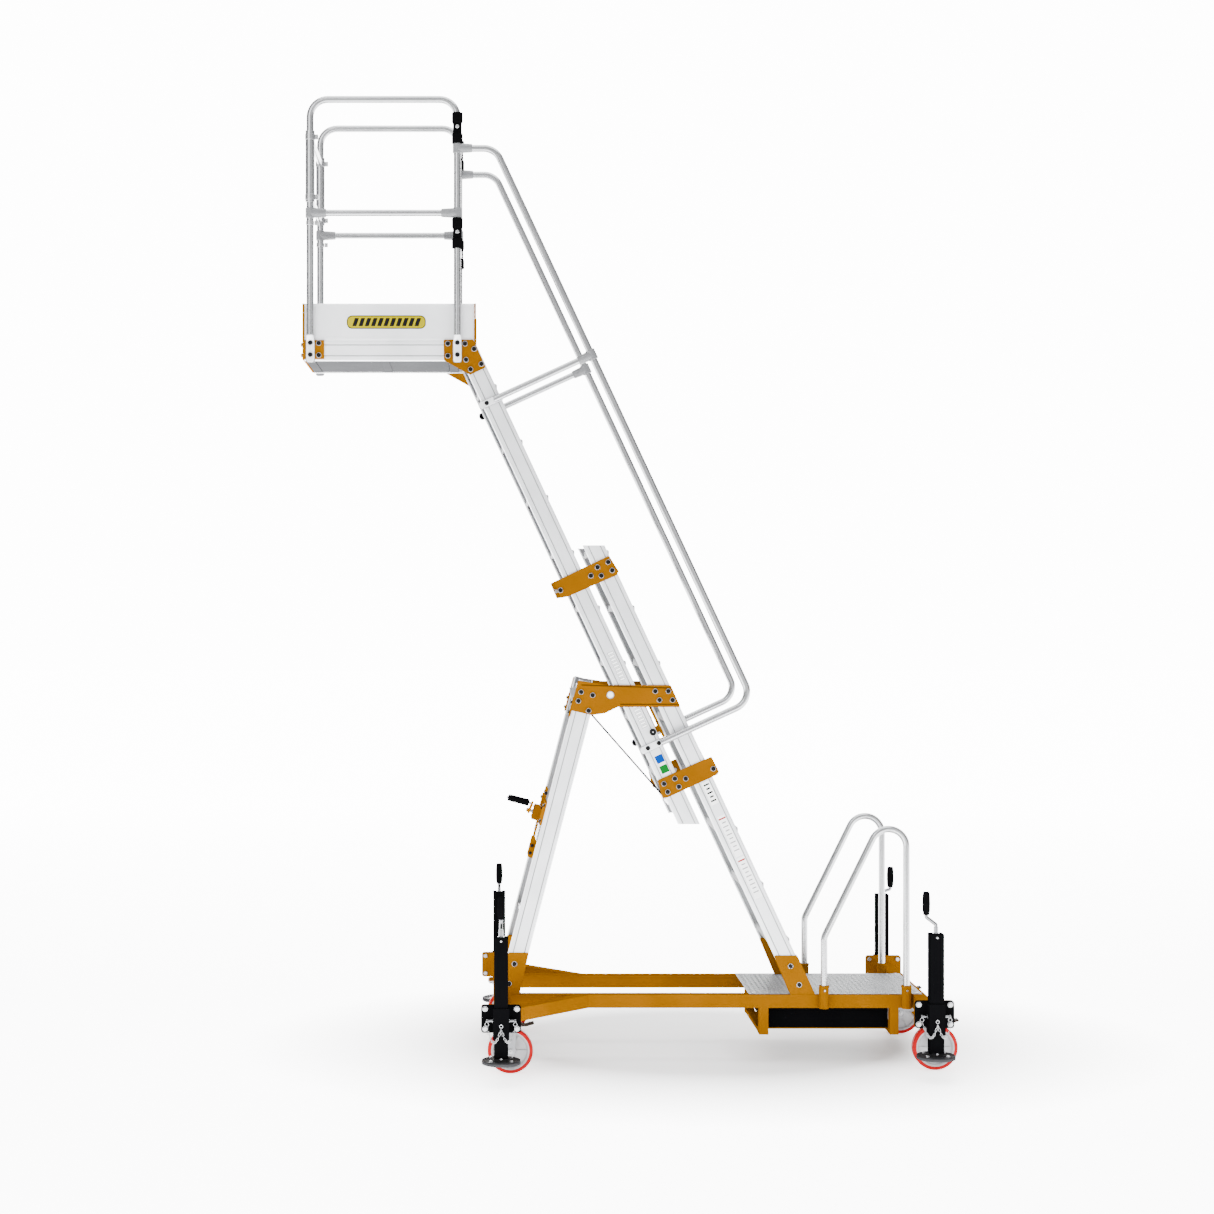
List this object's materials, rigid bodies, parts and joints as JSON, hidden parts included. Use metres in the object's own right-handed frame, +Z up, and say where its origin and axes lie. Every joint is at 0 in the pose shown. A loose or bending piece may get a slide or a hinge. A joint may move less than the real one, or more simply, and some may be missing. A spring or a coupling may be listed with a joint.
{
  "type": "mobile access platform",
  "caption": "Wheeled access platform: a winch-raised sliding ladder with a guarded cantilever work deck on a steel chassis with screw jacks, swivel casters and a counterweight.",
  "frame": {"origin": "floor level, at the middle of the object's box seen from above", "axes": "+Z up, +X towards the entry deck and the climber, -X towards the cantilevered platform, -Y is the climber's left"},
  "size_m": [2.924, 1.658, 4.3498],
  "materials": {
    "orange_paint": "gloss powder coat",
    "black_paint": "satin powder coat",
    "checker_plate": "raised tread pattern",
    "aluminium": "satin mill finish",
    "zinc": "bright zinc plate",
    "grip_plastic": "moulded grip on a plated rod",
    "wheel_red": "polyurethane tread on a grey centre",
    "roller_plastic": "moulded",
    "steel_rope": "stranded"
  },
  "bodies": {
    "chassis": {"chassis_frame": "orange_paint", "counterweight": "black_paint", "deck_plate": "checker_plate", "lower_ladder_section": "aluminium", "rear_leg_frame": "aluminium", "head_plate_left": "orange_paint", "head_plate_right": "orange_paint", "upper_guide_bracket_left": "orange_paint", "upper_guide_bracket_right": "orange_paint", "low_handrail_left": "aluminium", "low_handrail_right": "aluminium", "winch_frame": "orange_paint", "lift_rope": "steel_rope", "jack_body_rear_left": "black_paint", "jack_body_rear_right": "black_paint", "jack_body_front_left": "black_paint", "jack_body_front_right": "black_paint"},
    "upper_section": {"upper_ladder_section": "aluminium", "platform_frame": "aluminium", "platform_deck": "checker_plate", "front_end_frame": "orange_paint", "front_guard": "aluminium", "lower_guide_bracket_left": "orange_paint", "lower_guide_bracket_right": "orange_paint", "toe_board_left": "aluminium", "toe_board_right": "aluminium", "gusset_bracket_left": "orange_paint", "gusset_bracket_right": "orange_paint", "guardrail_left": "aluminium", "guardrail_right": "aluminium", "handrail_left": "aluminium", "handrail_right": "aluminium"},
    "gate_left": {"gate_left": "aluminium"},
    "gate_right": {"gate_right": "aluminium"},
    "latch": {"latch": "orange_paint"},
    "lower_guide_rollers": {"lower_guide_rollers": "roller_plastic"},
    "upper_guide_rollers": {"upper_guide_rollers": "roller_plastic"},
    "winch_drum": {"winch_drum": "zinc"},
    "winch_crank": {"winch_crank": "grip_plastic"},
    "head_pulley": {"head_pulley": "zinc"},
    "jack_leg_rear_left": {"jack_leg_rear_left": "black_paint"},
    "jack_crank_rear_left": {"jack_crank_rear_left": "grip_plastic"},
    "jack_leg_rear_right": {"jack_leg_rear_right": "black_paint"},
    "jack_crank_rear_right": {"jack_crank_rear_right": "grip_plastic"},
    "jack_leg_front_left": {"jack_leg_front_left": "black_paint"},
    "jack_crank_front_left": {"jack_crank_front_left": "grip_plastic"},
    "jack_leg_front_right": {"jack_leg_front_right": "black_paint"},
    "jack_crank_front_right": {"jack_crank_front_right": "grip_plastic"},
    "caster_fork_rear_left": {"caster_fork_rear_left": "zinc"},
    "caster_wheel_rear_left": {"caster_wheel_rear_left": "wheel_red"},
    "caster_pedal_rear_left": {"caster_pedal_rear_left": "zinc"},
    "caster_fork_rear_right": {"caster_fork_rear_right": "zinc"},
    "caster_wheel_rear_right": {"caster_wheel_rear_right": "wheel_red"},
    "caster_pedal_rear_right": {"caster_pedal_rear_right": "zinc"},
    "caster_fork_front_left": {"caster_fork_front_left": "zinc"},
    "caster_wheel_front_left": {"caster_wheel_front_left": "wheel_red"},
    "caster_pedal_front_left": {"caster_pedal_front_left": "zinc"},
    "caster_fork_front_right": {"caster_fork_front_right": "zinc"},
    "caster_wheel_front_right": {"caster_wheel_front_right": "wheel_red"},
    "caster_pedal_front_right": {"caster_pedal_front_right": "zinc"}
  },
  "joints": [
    {"name": "ladder_slide", "type": "slide", "parent": "chassis", "child": "upper_section", "axis": [-0.4226, 0, 0.9063], "range_m": [-0.7, 0.1], "deforming": ["lift_rope"]},
    {"name": "winch_drum_spin", "type": "hinge", "parent": "chassis", "child": "winch_drum", "pos_m": [-0.34456, 0, 1.08852], "axis": [0, 1, 0], "range_deg": [-1710, 245]},
    {"name": "winch_crank_turn", "type": "hinge", "parent": "chassis", "child": "winch_crank", "pos_m": [-0.39972, 0, 1.10289], "axis": [-0.9677, 0, 0.2521], "range_deg": [-7205, 1030]},
    {"name": "head_pulley_spin", "type": "hinge", "parent": "chassis", "child": "head_pulley", "pos_m": [-0.214, 0, 1.59], "axis": [0, 1, 0], "range_deg": [-209, 1460]},
    {"name": "upper_roller_spin", "type": "hinge", "parent": "chassis", "child": "upper_guide_rollers", "pos_m": [-0.282, 0, 2.14], "axis": [0, 1, 0], "range_deg": [-410, 2866]},
    {"name": "lower_roller_spin", "type": "hinge", "parent": "upper_section", "child": "lower_guide_rollers", "pos_m": [0.382, 0, 1.336], "axis": [0, 1, 0], "range_deg": [-348, 2432]},
    {"name": "gate_left_swing", "type": "hinge", "parent": "upper_section", "child": "gate_left", "pos_m": [-0.764, -0.258, 3.824], "axis": [0, 0, 1], "range_deg": [0, 88], "stiffness_Nm_per_rad": 1.2, "springref_deg": -11.46},
    {"name": "gate_right_swing", "type": "hinge", "parent": "upper_section", "child": "gate_right", "pos_m": [-0.764, 0.258, 3.824], "axis": [0, 0, -1], "range_deg": [0, 88], "stiffness_Nm_per_rad": 1.2, "springref_deg": -11.46},
    {"name": "latch_swing", "type": "hinge", "parent": "upper_section", "child": "latch", "pos_m": [0.116, 0, 1.49], "axis": [0, 1, 0], "range_deg": [0, 7], "stiffness_Nm_per_rad": 8, "springref_deg": -8.59},
    {"name": "jack_crank_rear_left_turn", "type": "hinge", "parent": "chassis", "child": "jack_crank_rear_left", "pos_m": [-0.57, -0.745, 0.67], "axis": [0, 0, 1], "range_deg": [0, 5404]},
    {"name": "jack_leg_rear_left_slide", "type": "slide", "parent": "chassis", "child": "jack_leg_rear_left", "axis": [0, 0, -1], "range_m": [0, 0.09]},
    {"name": "jack_crank_rear_right_turn", "type": "hinge", "parent": "chassis", "child": "jack_crank_rear_right", "pos_m": [-0.57, 0.745, 0.67], "axis": [0, 0, 1], "range_deg": [0, 5404]},
    {"name": "jack_leg_rear_right_slide", "type": "slide", "parent": "chassis", "child": "jack_leg_rear_right", "axis": [0, 0, -1], "range_m": [0, 0.09]},
    {"name": "jack_crank_front_left_turn", "type": "hinge", "parent": "chassis", "child": "jack_crank_front_left", "pos_m": [1.315, -0.645, 0.67], "axis": [0, 0, 1], "range_deg": [0, 5404]},
    {"name": "jack_leg_front_left_slide", "type": "slide", "parent": "chassis", "child": "jack_leg_front_left", "axis": [0, 0, -1], "range_m": [0, 0.09]},
    {"name": "jack_crank_front_right_turn", "type": "hinge", "parent": "chassis", "child": "jack_crank_front_right", "pos_m": [1.315, 0.645, 0.67], "axis": [0, 0, 1], "range_deg": [0, 5404]},
    {"name": "jack_leg_front_right_slide", "type": "slide", "parent": "chassis", "child": "jack_leg_front_right", "axis": [0, 0, -1], "range_m": [0, 0.09]},
    {"name": "caster_swivel_rear_left", "type": "hinge", "parent": "chassis", "child": "caster_fork_rear_left", "pos_m": [-0.57, -0.482, 0.23], "axis": [0, 0, 1], "continuous": true},
    {"name": "caster_wheel_rear_left_spin", "type": "hinge", "parent": "caster_fork_rear_left", "child": "caster_wheel_rear_left", "pos_m": [-0.528, -0.482, 0.1], "axis": [0, 1, 0], "continuous": true},
    {"name": "caster_pedal_rear_left_press", "type": "hinge", "parent": "caster_fork_rear_left", "child": "caster_pedal_rear_left", "pos_m": [-0.487, -0.482, 0.2135], "axis": [0, 1, 0], "range_deg": [0, 10]},
    {"name": "caster_swivel_rear_right", "type": "hinge", "parent": "chassis", "child": "caster_fork_rear_right", "pos_m": [-0.57, 0.482, 0.23], "axis": [0, 0, 1], "continuous": true},
    {"name": "caster_wheel_rear_right_spin", "type": "hinge", "parent": "caster_fork_rear_right", "child": "caster_wheel_rear_right", "pos_m": [-0.528, 0.482, 0.1], "axis": [0, 1, 0], "continuous": true},
    {"name": "caster_pedal_rear_right_press", "type": "hinge", "parent": "caster_fork_rear_right", "child": "caster_pedal_rear_right", "pos_m": [-0.487, 0.482, 0.2135], "axis": [0, 1, 0], "range_deg": [0, 10]},
    {"name": "caster_swivel_front_left", "type": "hinge", "parent": "chassis", "child": "caster_fork_front_left", "pos_m": [1.315, -0.412, 0.23], "axis": [0, 0, 1], "continuous": true},
    {"name": "caster_wheel_front_left_spin", "type": "hinge", "parent": "caster_fork_front_left", "child": "caster_wheel_front_left", "pos_m": [1.357, -0.412, 0.1], "axis": [0, 1, 0], "continuous": true},
    {"name": "caster_pedal_front_left_press", "type": "hinge", "parent": "caster_fork_front_left", "child": "caster_pedal_front_left", "pos_m": [1.398, -0.412, 0.2135], "axis": [0, 1, 0], "range_deg": [0, 10]},
    {"name": "caster_swivel_front_right", "type": "hinge", "parent": "chassis", "child": "caster_fork_front_right", "pos_m": [1.315, 0.412, 0.23], "axis": [0, 0, 1], "continuous": true},
    {"name": "caster_wheel_front_right_spin", "type": "hinge", "parent": "caster_fork_front_right", "child": "caster_wheel_front_right", "pos_m": [1.357, 0.412, 0.1], "axis": [0, 1, 0], "continuous": true},
    {"name": "caster_pedal_front_right_press", "type": "hinge", "parent": "caster_fork_front_right", "child": "caster_pedal_front_right", "pos_m": [1.398, 0.412, 0.2135], "axis": [0, 1, 0], "range_deg": [0, 10]}
  ],
  "couplings": [
    {"joint": "winch_drum_spin", "follows": "ladder_slide", "rad_per_m": 42.553},
    {"joint": "winch_crank_turn", "follows": "ladder_slide", "rad_per_m": 179.52},
    {"joint": "head_pulley_spin", "follows": "ladder_slide", "rad_per_m": -36.364},
    {"joint": "upper_roller_spin", "follows": "ladder_slide", "rad_per_m": -71.429},
    {"joint": "lower_roller_spin", "follows": "ladder_slide", "rad_per_m": -60.606},
    {"joint": "jack_crank_rear_left_turn", "follows": "jack_leg_rear_left_slide", "rad_per_m": 1047.2},
    {"joint": "jack_crank_rear_right_turn", "follows": "jack_leg_rear_right_slide", "rad_per_m": 1047.2},
    {"joint": "jack_crank_front_left_turn", "follows": "jack_leg_front_left_slide", "rad_per_m": 1047.2},
    {"joint": "jack_crank_front_right_turn", "follows": "jack_leg_front_right_slide", "rad_per_m": 1047.2}
  ]
}
